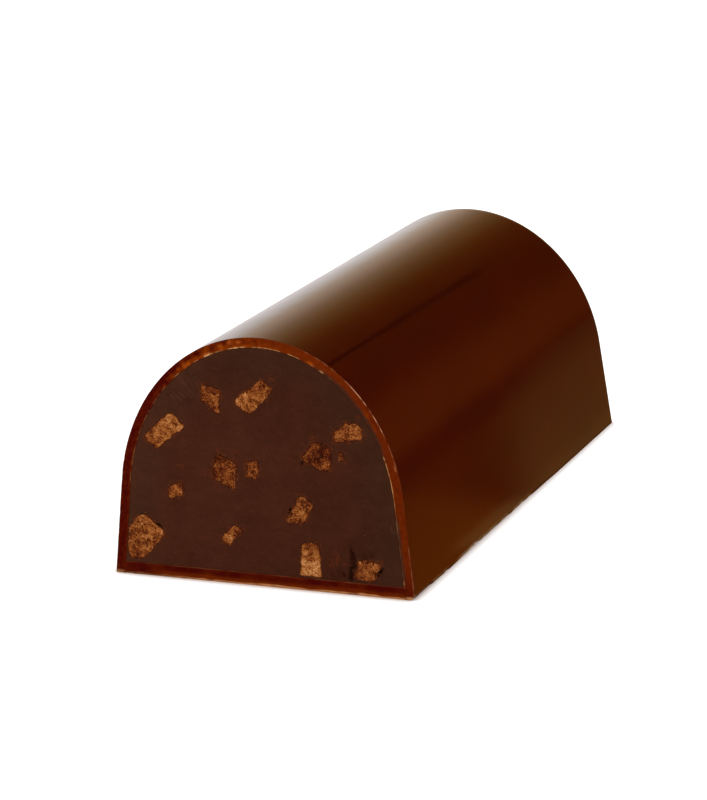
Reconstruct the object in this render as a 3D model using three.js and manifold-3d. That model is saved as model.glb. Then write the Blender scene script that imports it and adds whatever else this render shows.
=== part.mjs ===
// A cut length of half-round filled nougat bar: a moulded dark chocolate shell, closed at its far
// end, holds a truffle filling with pieces of crisp biscuit in it, and a poured base layer seals it
// underneath. The near end is sawn square, so the shell's wall, the filling, the base layer and the
// biscuit pieces all show there.
//
// Millimetres. +Z is up, +Y runs from the cut face to the closed end, and the origin is at the
// middle of the footprint.

import * as THREE from 'three';
import { mergeVertices } from 'three/addons/utils/BufferGeometryUtils.js';
import Module from 'manifold-3d';

const wasm = await Module();
wasm.setup();

// ---- Driving dimensions ---------------------------------------------------------------------

const BAR_WIDTH = 50;           // across the foot of the shell
const BAR_HEIGHT = 39.6;        // from the base to the top of the crown
const BAR_LENGTH = 109;         // along the base, from the cut face to the closed end
const CROWN_RISE = 27.35;       // upright half-axis of the elliptical crown
const SIDE_DRAFT = THREE.MathUtils.degToRad(5.95);
const END_DRAFT = THREE.MathUtils.degToRad(8.7);

const WALL = 1.55;              // thickness of the moulded shell
const BASE_THICKNESS = 2.0;     // thickness of the poured base layer
const END_ROUNDING = 2.0;       // the mould's rounding round the closed end
const CAVITY_ROUNDING = 0.8;    // the same edge inside the shell

const SEAT_GAP = 0.3;           // clearance round each biscuit piece
const RAGGEDNESS = 0.16;        // how far a broken biscuit edge wanders
const BACK_SCALE = 0.72;        // how much a biscuit piece narrows towards its hidden back

const CROWN_STEPS = 48;
const ROUNDING_STEPS = 4;
const OVERCUT = 1;              // how far a cutting body runs past what it cuts

const CUT_FACE = -BAR_LENGTH / 2;
const CLOSED_END = BAR_LENGTH / 2;

// Each biscuit piece as it shows in the cut face. `middle` is its place across and up, `size` its
// width and height, then that outline is turned by `turn` degrees. `lean` shifts its top sideways,
// `taper` is how wide the top is against the foot, and `depth` is how far it runs into the filling.
const BISCUITS = [
  { middle: [-15.9, 23.7], size: [3.7, 6.5], turn: 134, lean: 0.2, taper: 0.69, depth: 4.6, tone: 'golden' },
  { middle: [-7.9, 29.4], size: [3.8, 3.1], turn: 85, lean: 0.8, taper: 0.66, depth: 3.2, tone: 'toasted' },
  { middle: [-1.0, 30.6], size: [3.6, 6.2], turn: -37, lean: 1.1, taper: 0.69, depth: 4.4, tone: 'golden' },
  { middle: [-5.8, 17.4], size: [4.4, 3.7], turn: 86, lean: 1.2, taper: 0.93, depth: 4.2, tone: 'toasted' },
  { middle: [-1.3, 18.9], size: [3.2, 1.8], turn: 84, lean: -0.4, taper: 0.86, depth: 2.4, tone: 'toasted' },
  { middle: [-14.6, 14.0], size: [2.6, 2.0], turn: 23, lean: 0.7, taper: 0.95, depth: 2.2, tone: 'toasted' },
  { middle: [9.8, 21.7], size: [5.3, 3.9], turn: -21, lean: 0.0, taper: 0.54, depth: 4.0, tone: 'smeared' },
  { middle: [13.5, 21.9], size: [1.0, 1.6], turn: -4, lean: -0.2, taper: 0.8, depth: 1.6, tone: 'smeared' },
  { middle: [14.3, 26.3], size: [3.7, 4.7], turn: 100, lean: -1.1, taper: 0.45, depth: 3.6, tone: 'golden' },
  { middle: [6.8, 12.9], size: [4.2, 2.5], turn: 60, lean: -0.7, taper: 1.0, depth: 3.2, tone: 'toasted' },
  { middle: [-5.6, 8.2], size: [2.4, 3.5], turn: -28, lean: 1.2, taper: 0.64, depth: 2.8, tone: 'golden' },
  { middle: [-20.9, 6.0], size: [5.6, 7.4], turn: 132, lean: -1.0, taper: 0.72, depth: 5.4, tone: 'golden' },
  { middle: [7.8, 4.7], size: [4.0, 6.0], turn: 2, lean: 0.4, taper: 0.68, depth: 4.2, tone: 'golden' },
  { middle: [17.5, 4.4], size: [3.8, 2.7], turn: 55, lean: -0.8, taper: 0.92, depth: 3.0, tone: 'toasted' },
];

// ---- Materials ------------------------------------------------------------------------------

const chocolate = (color, roughness) => new THREE.MeshStandardMaterial({ color, roughness, metalness: 0 });

const SHELL_CHOCOLATE = chocolate(0x47200c, 0.16);
const BASE_CHOCOLATE = chocolate(0x4a1406, 0.3);
const TRUFFLE = chocolate(0x3e1e13, 0.62);
const BISCUIT_TONES = {
  golden: chocolate(0x96552a, 0.9),
  toasted: chocolate(0x824123, 0.9),
  smeared: chocolate(0x5c2c18, 0.85),
};

// ---- Solids and meshes ----------------------------------------------------------------------

// A closed geometry as a solid that can be cut and joined.
function solid(geometry) {
  geometry.deleteAttribute('normal');
  geometry.deleteAttribute('uv');
  const merged = mergeVertices(geometry, 1e-5);
  return new wasm.Manifold(new wasm.Mesh({
    numProp: 3,
    vertProperties: Float32Array.from(merged.attributes.position.array),
    triVerts: Uint32Array.from(merged.index.array),
  }));
}

// A solid as a named mesh of its own.
function piece(name, body, material) {
  const { vertProperties, triVerts } = body.getMesh();
  const geometry = new THREE.BufferGeometry();
  geometry.setAttribute('position', new THREE.BufferAttribute(Float32Array.from(vertProperties), 3));
  geometry.setIndex(new THREE.BufferAttribute(Uint32Array.from(triVerts), 1));
  geometry.computeVertexNormals();
  const mesh = new THREE.Mesh(geometry, material);
  mesh.name = name;
  return mesh;
}

// A box between two levels, wider and longer than the bar.
function slab(lowest, highest, from) {
  const length = CLOSED_END + OVERCUT - from;
  const box = new THREE.BoxGeometry(BAR_WIDTH + 2 * OVERCUT, length, highest - lowest);
  box.translate(0, from + length / 2, (lowest + highest) / 2);
  return solid(box);
}

// Skins a row of rings, each with the same number of points, and caps both ends.
function loft(rings) {
  const count = rings[0].length;
  const positions = rings.flat().flatMap((point) => [point.x, point.y, point.z]);
  const index = [];
  for (let ring = 0; ring < rings.length - 1; ring += 1) {
    for (let i = 0; i < count; i += 1) {
      const here = ring * count + i;
      const next = ring * count + (i + 1) % count;
      index.push(here, next, here + count, next, next + count, here + count);
    }
  }
  const outline = rings[0].map((point) => new THREE.Vector2(point.x, point.z));
  const lastRing = (rings.length - 1) * count;
  for (const [a, b, c] of THREE.ShapeUtils.triangulateShape(outline, [])) {
    index.push(a, b, c, lastRing + a, lastRing + c, lastRing + b);
  }
  const geometry = new THREE.BufferGeometry();
  geometry.setAttribute('position', new THREE.Float32BufferAttribute(positions, 3));
  geometry.setIndex(index);
  return geometry;
}

// ---- The half-round bar form ----------------------------------------------------------------

// The section, `inset` inside the moulded surface: straight drafted sides that run tangent into an
// elliptical crown. It goes from the left foot over the crown to the right foot, and `levels` are
// the heights of the points on the straight sides, lowest first.
function archOutline(inset, levels) {
  const lean = Math.tan(SIDE_DRAFT);
  const crownCentre = BAR_HEIGHT - CROWN_RISE;
  const sideAtCentre = BAR_WIDTH / 2 - crownCentre * lean;
  const crownHalfWidth = Math.sqrt(sideAtCentre ** 2 - (CROWN_RISE * lean) ** 2);
  const tangentAngle = Math.acos(crownHalfWidth / sideAtCentre);
  const side = (level) => BAR_WIDTH / 2 - level * lean - inset / Math.cos(SIDE_DRAFT);

  const outline = levels.map((level) => new THREE.Vector2(-side(level), level));
  for (let step = 0; step <= CROWN_STEPS; step += 1) {
    const angle = Math.PI - tangentAngle - (step / CROWN_STEPS) * (Math.PI - 2 * tangentAngle);
    const point = new THREE.Vector2(crownHalfWidth * Math.cos(angle), CROWN_RISE * Math.sin(angle));
    const normal = new THREE.Vector2(Math.cos(angle) / crownHalfWidth, Math.sin(angle) / CROWN_RISE);
    outline.push(point.addScaledVector(normal.normalize(), -inset).add(new THREE.Vector2(0, crownCentre)));
  }
  for (const level of [...levels].reverse()) {
    outline.push(new THREE.Vector2(side(level), level));
  }
  return outline;
}

// The whole half-round form, `inset` inside the moulded surface, from `near` to the closed end,
// which leans back by the mould's draft and is rounded where it meets the crown and the sides.
function barForm(inset, levels, near, rounding) {
  const endPlane = (z) => CLOSED_END - inset - z * Math.tan(END_DRAFT);
  const rings = [archOutline(inset, levels).map((p) => new THREE.Vector3(p.x, near, p.y))];
  for (let step = 0; step <= ROUNDING_STEPS; step += 1) {
    const turn = (step / ROUNDING_STEPS) * (Math.PI / 2);
    const drawnIn = rounding * (1 - Math.cos(turn));
    const setBack = rounding * (1 - Math.sin(turn));
    const ring = archOutline(inset + drawnIn, levels);
    rings.push(ring.map((p) => new THREE.Vector3(p.x, endPlane(p.y) - setBack, p.y)));
  }
  return solid(loft(rings));
}

// ---- Biscuit pieces -------------------------------------------------------------------------

// A repeatable stream of numbers from 0 to 1.
function randomStream(seed) {
  let state = seed;
  return () => {
    state = (state * 1664525 + 1013904223) % 4294967296;
    return state / 4294967296;
  };
}

// The broken outline of one piece in the cut face: four sides, each with small wandering steps.
function biscuitOutline({ middle, size, turn, lean, taper }, seed) {
  const [width, height] = size;
  const random = randomStream(seed);
  const corners = [
    new THREE.Vector2(-width / 2, -height / 2),
    new THREE.Vector2(width / 2, -height / 2),
    new THREE.Vector2((width / 2) * taper + lean, height / 2),
    new THREE.Vector2((-width / 2) * taper + lean, height / 2),
  ];
  const centre = new THREE.Vector2(...middle);
  const outline = [];
  corners.forEach((corner, i) => {
    const next = corners[(i + 1) % corners.length];
    const steps = Math.max(2, Math.round(corner.distanceTo(next) / 1.1));
    for (let step = 0; step < steps; step += 1) {
      const point = corner.clone().lerp(next, step / steps);
      point.x += (random() - 0.5) * 2 * RAGGEDNESS;
      point.y += (random() - 0.5) * 2 * RAGGEDNESS;
      point.rotateAround(new THREE.Vector2(), THREE.MathUtils.degToRad(turn));
      outline.push(point.add(centre));
    }
  });
  return outline;
}

// The same outline pushed out by `distance`, square to its edges.
function pushedOut(outline, distance) {
  return outline.map((point, i) => {
    const before = outline[(i + outline.length - 1) % outline.length];
    const after = outline[(i + 1) % outline.length];
    const along = after.clone().sub(before).normalize();
    return point.clone().add(new THREE.Vector2(along.y, -along.x).multiplyScalar(distance));
  });
}

// A chunk that runs from `front` into the bar for `depth`, narrowing towards its back.
function chunk(outline, middle, front, depth) {
  const geometry = new THREE.ExtrudeGeometry(new THREE.Shape(outline), { depth, bevelEnabled: false });
  const position = geometry.attributes.position;
  for (let i = 0; i < position.count; i += 1) {
    const back = position.getZ(i) / depth;
    const scale = THREE.MathUtils.lerp(1, BACK_SCALE, back);
    const across = middle[0] + (position.getX(i) - middle[0]) * scale;
    const up = middle[1] + (position.getY(i) - middle[1]) * scale;
    position.setXYZ(i, across, front + position.getZ(i), up);
  }
  // Swapping two axes turns the faces inside out, so each triangle is wound the other way.
  const merged = mergeVertices(geometry.deleteAttribute('normal').deleteAttribute('uv'), 1e-5);
  const index = merged.index;
  for (let i = 0; i < index.count; i += 3) {
    const second = index.getX(i + 1);
    index.setX(i + 1, index.getX(i + 2));
    index.setX(i + 2, second);
  }
  return solid(merged);
}

// ---- Assembly -------------------------------------------------------------------------------

const group = new THREE.Group();

const outside = barForm(0, [0], CUT_FACE, END_ROUNDING);
const cavity = barForm(WALL, [-OVERCUT, 0, BASE_THICKNESS], CUT_FACE - OVERCUT, CAVITY_ROUNDING);
group.add(piece('moulded_shell', outside.subtract(cavity), SHELL_CHOCOLATE));

const baseLayer = cavity.intersect(slab(0, BASE_THICKNESS, CUT_FACE));
group.add(piece('base_layer', baseLayer, BASE_CHOCOLATE));

const seatRoom = barForm(WALL + SEAT_GAP, [BASE_THICKNESS + SEAT_GAP], CUT_FACE - OVERCUT, CAVITY_ROUNDING);
let filling = cavity.intersect(slab(BASE_THICKNESS, BAR_HEIGHT, CUT_FACE));
BISCUITS.forEach((spec, i) => {
  const name = `biscuit_${String(i + 1).padStart(2, '0')}`;
  const outline = biscuitOutline(spec, i + 1);
  const biscuit = chunk(outline, spec.middle, CUT_FACE, spec.depth).intersect(seatRoom);
  const pocket = chunk(
    pushedOut(outline, SEAT_GAP),
    spec.middle,
    CUT_FACE - OVERCUT,
    spec.depth + OVERCUT + SEAT_GAP,
  );
  group.add(piece(name, biscuit, BISCUIT_TONES[spec.tone]));
  filling = filling.subtract(pocket);
});
group.add(piece('truffle_filling', filling, TRUFFLE));

export default group;
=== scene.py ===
"""Looks of a cut length of half-round filled nougat bar, laid out as a Blender add-on.

The moulded shell, the poured base layer, the truffle filling and the biscuit pieces are each rebuilt as a
fine mesh on the measured solids of the frame, with chipped edges, knife marks, pits and pores.
Lengths are in metres, +Z is up, and +Y runs from the cut face to the closed end.
"""

import math

import bmesh
import bpy
import numpy as np
from bpy.props import FloatProperty, FloatVectorProperty, IntProperty, PointerProperty
from mathutils import Matrix, Vector


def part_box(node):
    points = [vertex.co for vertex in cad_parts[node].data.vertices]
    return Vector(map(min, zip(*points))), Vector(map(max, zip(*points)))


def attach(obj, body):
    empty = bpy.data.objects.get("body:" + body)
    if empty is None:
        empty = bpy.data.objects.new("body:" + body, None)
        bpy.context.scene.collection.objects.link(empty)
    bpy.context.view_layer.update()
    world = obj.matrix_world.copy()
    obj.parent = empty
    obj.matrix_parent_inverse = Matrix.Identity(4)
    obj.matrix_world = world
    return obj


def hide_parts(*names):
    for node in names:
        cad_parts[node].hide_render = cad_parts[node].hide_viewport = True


bl_info = {
    "name": "Filled nougat bar",
    "version": (1, 0, 0),
    "blender": (4, 5, 0),
    "location": "3D View > Sidebar > Nougat",
    "description": "Dresses a cut half-round nougat bar: shell, base layer, truffle and biscuit pieces",
    "category": "Add Mesh",
}

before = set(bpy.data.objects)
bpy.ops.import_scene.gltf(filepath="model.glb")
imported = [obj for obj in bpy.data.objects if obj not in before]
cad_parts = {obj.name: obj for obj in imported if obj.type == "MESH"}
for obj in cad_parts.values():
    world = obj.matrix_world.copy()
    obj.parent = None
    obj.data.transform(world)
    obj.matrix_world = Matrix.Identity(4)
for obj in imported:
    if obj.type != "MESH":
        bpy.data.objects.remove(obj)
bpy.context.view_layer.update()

MM = 0.001
SHELL_LOW, SHELL_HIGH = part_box("moulded_shell")
FOOT_HALF_WIDTH = SHELL_HIGH.x
BAR_HEIGHT = SHELL_HIGH.z
BASE_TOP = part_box("base_layer")[1].z
CUT_FACE = SHELL_LOW.y
CLOSED_END = SHELL_HIGH.y
BISCUITS = sorted(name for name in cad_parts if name.startswith("biscuit_"))

# How dark each biscuit piece is baked, from 0 golden to 1 dark, then the heading across the cut face in
# which it gets darker, in degrees from the right, and by how much.
BAKED = {
    "biscuit_01": (0.3, 220, 0.35), "biscuit_02": (0.7, 200, 0.15), "biscuit_03": (0.35, 40, 0.25),
    "biscuit_04": (0.85, 130, 0.2), "biscuit_05": (0.62, 90, 0.1), "biscuit_06": (0.65, 90, 0.1),
    "biscuit_07": (1.3, 0, 0.0), "biscuit_08": (1.0, 90, 0.1), "biscuit_09": (0.6, 150, 0.3),
    "biscuit_10": (0.6, 0, 0.1), "biscuit_11": (0.4, 50, 0.35), "biscuit_12": (0.42, 200, 0.2),
    "biscuit_13": (0.12, 90, 0.85), "biscuit_14": (0.66, 0, 0.1),
}
# Pieces with truffle smeared over their cut, and how strongly.
SMEARED = {"biscuit_10": 0.5, "biscuit_04": 0.25, "biscuit_14": 0.3, "biscuit_12": 0.2}
# The piece that is smeared over its middle, and shows as bright arcs round it.
ARCED = "biscuit_07"


# ---- Sizes and colours a user would change ---------------------------------------------------------


class BarSizes(bpy.types.PropertyGroup):
    """Shape of the bar that the frame's boxes don't give, and how worn its edges are."""

    side_draft: FloatProperty(
        name="Side draft", description="Lean of the straight sides",
        default=math.radians(5.95), subtype="ANGLE",
    )
    end_draft: FloatProperty(
        name="End draft", description="Lean of the closed end",
        default=math.radians(8.7), subtype="ANGLE",
    )
    crown_rise: FloatProperty(
        name="Crown rise", description="Upright half-axis of the crown",
        default=27.35 * MM, unit="LENGTH",
    )
    end_rounding: FloatProperty(
        name="End rounding", description="Rounding round the closed end",
        default=2.0 * MM, unit="LENGTH",
    )
    wall: FloatProperty(
        name="Wall", description="Thickness of the shell",
        default=1.55 * MM, unit="LENGTH",
    )
    edge_wear: FloatProperty(
        name="Edge wear", description="How far a sawn edge crumbles back",
        default=0.11 * MM, unit="LENGTH",
    )
    foot_scrape: FloatProperty(
        name="Foot scrape", description="How far the outer foot is scraped in",
        default=0.3 * MM, unit="LENGTH",
    )
    ledge_length: FloatProperty(
        name="Ledge length", description="Undercut of the foot, from the cut face",
        default=9.5 * MM, unit="LENGTH",
    )
    corner_rounding: FloatProperty(
        name="Corner rounding", description="Rounding of the cut face's right foot",
        default=1.1 * MM, unit="LENGTH",
    )
    crease_length: FloatProperty(
        name="Crease length", description="Faint line along the crown, from the cut face",
        default=73 * MM, unit="LENGTH",
    )
    crease_width: FloatProperty(
        name="Crease width", description="Width of the line",
        default=0.75 * MM, unit="LENGTH",
    )
    crease_lean: FloatProperty(
        name="Crease lean", description="Where the line starts, from the top",
        default=math.radians(33.4), subtype="ANGLE",
    )
    straight_rows: IntProperty(
        name="Side rows", description="Rows of points up each straight side",
        default=64,
    )
    crown_rows: IntProperty(
        name="Crown rows", description="Rows of points up each half crown",
        default=160,
    )
    face_columns: IntProperty(
        name="Face columns", description="Points across the truffle's cut face",
        default=300,
    )


class BarColours(bpy.types.PropertyGroup):
    """Scene-linear colours of the chocolate, the truffle and the biscuit."""

    moulded: FloatVectorProperty(
        name="Moulded", description="Glossy moulded chocolate",
        default=(0.0475, 0.0037, 0.0003), subtype="COLOR",
    )
    speck: FloatVectorProperty(
        name="Specks", description="Small light specks in the gloss",
        default=(0.08, 0.022, 0.01), subtype="COLOR",
    )
    sawn_maroon: FloatVectorProperty(
        name="Sawn, dark", description="Darkest sawn chocolate",
        default=(0.048, 0.0016, 0.0006), subtype="COLOR",
    )
    sawn_warm: FloatVectorProperty(
        name="Sawn, warm", description="Warmest sawn chocolate",
        default=(0.25, 0.038, 0.0), subtype="COLOR",
    )
    # Also the painted highlight along the bottom edge of the sawn face.
    pale: FloatVectorProperty(
        name="Pale chips", description="Crumbled and bloomed chocolate",
        default=(0.44, 0.19, 0.07), subtype="COLOR",
    )
    # Painted highlight: the thin pale lines along the rim's inner edge.
    inner_highlight_tone: FloatVectorProperty(
        name="Inner lines", description="Thin pale lines along the rim's inner edge",
        default=(0.66, 0.34, 0.12), subtype="COLOR",
    )
    # Painted highlight: the thin pale lines along the rim's outer edge.
    outer_highlight: FloatVectorProperty(
        name="Outer lines", description="Thin pale lines along the rim's outer edge",
        default=(0.62, 0.3, 0.16), subtype="COLOR",
    )
    truffle: FloatVectorProperty(
        name="Truffle", description="Cut truffle filling",
        default=(0.0485, 0.0132, 0.0065), subtype="COLOR",
    )
    truffle_rim: FloatVectorProperty(
        name="Truffle, rim", description="Truffle beside the shell",
        default=(0.0455, 0.015, 0.0076), subtype="COLOR",
    )
    reddish: FloatVectorProperty(
        name="Reddish grains", description="Redder grains of the truffle",
        default=(0.085, 0.017, 0.006), subtype="COLOR",
    )
    stroke: FloatVectorProperty(
        name="Knife strokes", description="Pale strokes that the knife left",
        default=(0.13, 0.058, 0.036), subtype="COLOR",
    )
    # Painted shade that darkens the hollows of the cut face.
    hollow: FloatVectorProperty(
        name="Hollows", description="Shaded hollows in the cut face",
        default=(0.018, 0.004, 0.002), subtype="COLOR",
    )
    bright: FloatVectorProperty(
        name="Bright grains", description="Lightest biscuit grains",
        default=(0.578, 0.27, 0.102), subtype="COLOR",
    )
    golden: FloatVectorProperty(
        name="Golden crumb", description="Light biscuit crumb",
        default=(0.305, 0.094, 0.019), subtype="COLOR",
    )
    toasted: FloatVectorProperty(
        name="Toasted crumb", description="Dark biscuit crumb",
        default=(0.114, 0.022, 0.0052), subtype="COLOR",
    )
    # Painted shade in the biscuit's pores, also its darkest baked crumb.
    pore: FloatVectorProperty(
        name="Pores", description="Shaded pores of the biscuit",
        default=(0.032, 0.0052, 0.0024), subtype="COLOR",
    )


class StudioSetup(bpy.types.PropertyGroup):
    """Camera place and light of the plain studio."""

    camera_place: FloatVectorProperty(
        name="Camera", description="Where the camera stands",
        default=(0.18486, -0.4968, 0.15656), unit="LENGTH",
    )
    camera_yaw: FloatProperty(
        name="Yaw", description="Turn to the left",
        default=math.radians(20.93), subtype="ANGLE",
    )
    camera_pitch: FloatProperty(
        name="Pitch", description="Tilt down",
        default=math.radians(14.85), subtype="ANGLE",
    )
    camera_roll: FloatProperty(
        name="Roll", description="Turn round the line of view",
        default=math.radians(-1.27), subtype="ANGLE",
    )
    lens: FloatProperty(
        name="Lens", description="Focal length in millimetres, on a frame 36 mm wide",
        default=146.07,
    )
    fill: FloatProperty(
        name="Fill", description="Strength of the even light all round",
        default=1.0,
    )
    softbox_azimuth: FloatProperty(
        name="Softbox azimuth", description="Heading of the large soft light",
        default=math.radians(-42), subtype="ANGLE",
    )
    softbox_elevation: FloatProperty(
        name="Softbox height", description="Elevation of the soft light",
        default=math.radians(-12), subtype="ANGLE",
    )
    table_near: FloatVectorProperty(
        name="Table glow, near",
        description="What the side picks up from the table near the cut face",
        default=(0.165, 0.052, 0.001), subtype="COLOR",
    )
    table_far: FloatVectorProperty(
        name="Table glow, far", description="What the side picks up from the table further back",
        default=(0.1, 0.063, 0.017), subtype="COLOR",
    )
    table_foot: FloatVectorProperty(
        name="Table glow, foot", description="What the foot picks up beside the middle of the bar",
        default=(0.12, 0.09, 0.03), subtype="COLOR",
    )


def sizes():
    return bpy.context.scene.nougat_sizes


def colours():
    return bpy.context.scene.nougat_colours


def studio():
    return bpy.context.scene.nougat_studio


# ---- Relief ----------------------------------------------------------------------------------------


def wander(across, up, size, seed):
    """Smooth random relief from -1 to 1 with bumps about `size` wide, the same on every run."""
    u, v = np.broadcast_arrays(np.asarray(across) / size, np.asarray(up) / size)
    column, row = np.floor(u).astype(np.int64), np.floor(v).astype(np.int64)
    u, v = u - column, v - row
    u, v = u * u * (3 - 2 * u), v * v * (3 - 2 * v)

    def corner(right, above):
        mixed = ((column + right) * 374761393 + (row + above) * 668265263 + seed * 362437) & 0x7FFFFFFF
        mixed = ((mixed ^ (mixed >> 13)) * 1274126177) & 0x7FFFFFFF
        return ((mixed ^ (mixed >> 16)) & 0xFFFF) / 32767.5 - 1

    low = corner(0, 0) * (1 - u) + corner(1, 0) * u
    high = corner(0, 1) * (1 - u) + corner(1, 1) * u
    return low * (1 - v) + high * v


def ease(value, low, high):
    """0 at `low`, 1 at `high`, smooth between them."""
    t = np.clip((value - low) / (high - low), 0, 1)
    return t * t * (3 - 2 * t)


def stretch(value, start, risen, falling, end):
    """1 from `risen` to `falling`, fading to 0 at `start` and at `end`."""
    return ease(value, start, risen) * (1 - ease(value, falling, end))


# ---- The half-round section ------------------------------------------------------------------------


# The strip of the crown that the crease runs in, as leans from the top, and its rows of points.
CREASE_BAND = (math.radians(37.5), math.radians(31.5))
CREASE_ROWS = 56
# How closely the rows of the straight sides crowd towards the foot: 1 is evenly spaced.
FOOT_CROWDING = 1.35


def climb(inset, start, straight_rows, crown_rows, crease_rows=0):
    """Half width and height of the section's rows, `inset` inside the moulded surface, from the height
    `start` up the straight side and over the elliptical crown."""
    bar = sizes()
    lean = math.tan(bar.side_draft)
    centre = BAR_HEIGHT - bar.crown_rise
    side_at_centre = FOOT_HALF_WIDTH - centre * lean
    half_axis = math.sqrt(side_at_centre**2 - (bar.crown_rise * lean) ** 2)
    tangent = math.acos(half_axis / side_at_centre)
    straight_top = centre + bar.crown_rise * math.sin(tangent) - inset * math.sin(bar.side_draft)

    share = np.linspace(0, 1, straight_rows, endpoint=False) ** FOOT_CROWDING
    height = start + (straight_top - start) * share
    half = FOOT_HALF_WIDTH - height * lean - inset / math.cos(bar.side_draft)

    angle = np.linspace(tangent, math.pi / 2, crown_rows)
    if crease_rows:
        low, high = (math.atan2(bar.crown_rise, half_axis * math.tan(edge)) for edge in CREASE_BAND)
        creased = np.linspace(low, high, crease_rows)
        angle = np.concatenate([angle[angle < low], creased, angle[angle > high]])
    out, up = np.cos(angle) / half_axis, np.sin(angle) / bar.crown_rise
    length = np.hypot(out, up)
    crown_half = half_axis * np.cos(angle) - inset * out / length
    crown_height = centre + bar.crown_rise * np.sin(angle) - inset * up / length
    return np.concatenate([half, crown_half]), np.concatenate([height, crown_height])


def arch(inset):
    """The whole section line as across and up, from the left foot over the crown to the right foot."""
    half, height = climb(inset, 0, sizes().straight_rows, sizes().crown_rows, CREASE_ROWS)
    return np.concatenate([-half, half[-2::-1]]), np.concatenate([height, height[-2::-1]])


def end_plane(height, inset):
    """How far along the bar the closed end's plane lies at a height, `inset` inside its surface."""
    return CLOSED_END - inset - height * math.tan(sizes().end_draft)


# ---- Meshes ----------------------------------------------------------------------------------------


def grid_faces(rows, columns):
    """Four-sided faces between neighbouring points of a grid."""
    at = np.arange(rows * columns).reshape(rows, columns)
    return np.stack([at[:-1, :-1], at[:-1, 1:], at[1:, 1:], at[1:, :-1]], axis=-1).reshape(-1, 4)


def finished(name, points, faces, slots, marks=None, face_slots=None):
    """A closed, smooth-shaded piece that rides on the bar, with its holes filled and faces turned out."""
    mesh = bpy.data.meshes.new(name)
    mesh.from_pydata([tuple(p) for p in points], [], [tuple(map(int, f)) for f in faces])
    for material in slots:
        mesh.materials.append(material)
    if face_slots is not None:
        mesh.polygons.foreach_set("material_index", np.asarray(face_slots, np.int32))
    for mark, values in (marks or {}).items():
        layer = mesh.attributes.new(mark, "FLOAT", "POINT")
        layer.data.foreach_set("value", np.asarray(values, np.float32).ravel())
    body = bmesh.new()
    body.from_mesh(mesh)
    bmesh.ops.holes_fill(body, edges=[e for e in body.edges if e.is_boundary], sides=0)
    bmesh.ops.recalc_face_normals(body, faces=body.faces)
    body.to_mesh(mesh)
    body.free()
    mesh.polygons.foreach_set("use_smooth", np.ones(len(mesh.polygons), bool))
    mesh.validate()
    piece = bpy.data.objects.new(name, mesh)
    bpy.context.scene.collection.objects.link(piece)
    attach(piece, "root")
    return piece


# ---- Materials -------------------------------------------------------------------------------------


class Nodes:
    """Short calls that make and join the nodes of a material or of the world."""

    def __init__(self, tree):
        self.tree = tree

    def node(self, kind, **settings):
        made = self.tree.nodes.new(kind)
        for key, value in settings.items():
            setattr(made, key, value)
        return made

    def put(self, value, socket):
        """Sets a socket to a number or colour, or links an output to it."""
        if isinstance(value, bpy.types.NodeSocket):
            self.tree.links.new(value, socket)
        elif hasattr(value, "__len__") and len(value) == 3 and socket.type == "RGBA":
            socket.default_value = (*value, 1)
        else:
            socket.default_value = value

    def between(self, value, low, high, to_low=0, to_high=1, **settings):
        """A value mapped from one range to another, held at both ends."""
        mapped = self.node("ShaderNodeMapRange", **settings)
        for socket, number in zip(mapped.inputs[:5], (value, low, high, to_low, to_high)):
            self.put(number, socket)
        return mapped.outputs[0]

    def mix(self, share, first, second, **settings):
        mixed = self.node("ShaderNodeMix", data_type="RGBA", **settings)
        self.put(share, mixed.inputs["Factor"])
        self.put(first, mixed.inputs["A"])
        self.put(second, mixed.inputs["B"])
        return mixed.outputs["Result"]

    def maths(self, operation, first, second=0.0):
        made = self.node("ShaderNodeMath", operation=operation)
        self.put(first, made.inputs[0])
        self.put(second, made.inputs[1])
        return made.outputs[0]

    def part(self, vector, axis):
        """The X, Y or Z part of a vector."""
        split = self.node("ShaderNodeSeparateXYZ")
        self.put(vector, split.inputs[0])
        return split.outputs[axis]

    def ramp(self, value, places):
        """The colour at a value from 0 to 1, from a ramp's places and colours."""
        made = self.node("ShaderNodeValToRGB")
        self.put(value, made.inputs[0])
        stops = made.color_ramp.elements
        while len(stops) < len(places):
            stops.new(0.5)
        for stop, (position, colour) in zip(stops, places):
            stop.position = position
            stop.color = (*colour, 1)
        return made.outputs[0]


class Finish(Nodes):
    """A material with the textures and marks that the finishes here share."""

    def __init__(self, name, roughness, specular):
        self.material = bpy.data.materials.new(name)
        self.material.use_nodes = True
        super().__init__(self.material.node_tree)
        self.shader = self.tree.nodes["Principled BSDF"]
        self.shader.inputs["Roughness"].default_value = roughness
        self.shader.inputs["Specular IOR Level"].default_value = specular
        self.place = self.node("ShaderNodeTexCoord").outputs["Object"]

    def noise(self, size, detail=3, stretched=(1, 1, 1), roughness=0.55):
        """Noise from 0 to 1 with features about `size` metres wide, drawn out along the stretched axes."""
        mapping = self.node("ShaderNodeMapping")
        self.put(self.place, mapping.inputs["Vector"])
        mapping.inputs["Scale"].default_value = [1 / (size * s) for s in stretched]
        texture = self.node("ShaderNodeTexNoise")
        self.put(mapping.outputs[0], texture.inputs["Vector"])
        texture.inputs["Scale"].default_value = 1
        texture.inputs["Detail"].default_value = detail
        texture.inputs["Roughness"].default_value = roughness
        return texture.outputs["Fac"]

    def mark(self, name):
        """The value that the mesh code left on each point under this name."""
        return self.node("ShaderNodeAttribute", attribute_name=name).outputs["Fac"]

    def finish(self, colour, roughness=None, relief=None, depth=0.0):
        self.put(colour, self.shader.inputs["Base Color"])
        if roughness is not None:
            self.put(roughness, self.shader.inputs["Roughness"])
        if relief is not None:
            bump = self.node("ShaderNodeBump")
            bump.inputs["Strength"].default_value = 1
            bump.inputs["Distance"].default_value = depth
            self.put(relief, bump.inputs["Height"])
            self.put(bump.outputs[0], self.shader.inputs["Normal"])
        return self.material


def scaled(colour, factor):
    return tuple(channel * factor for channel in colour)


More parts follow.
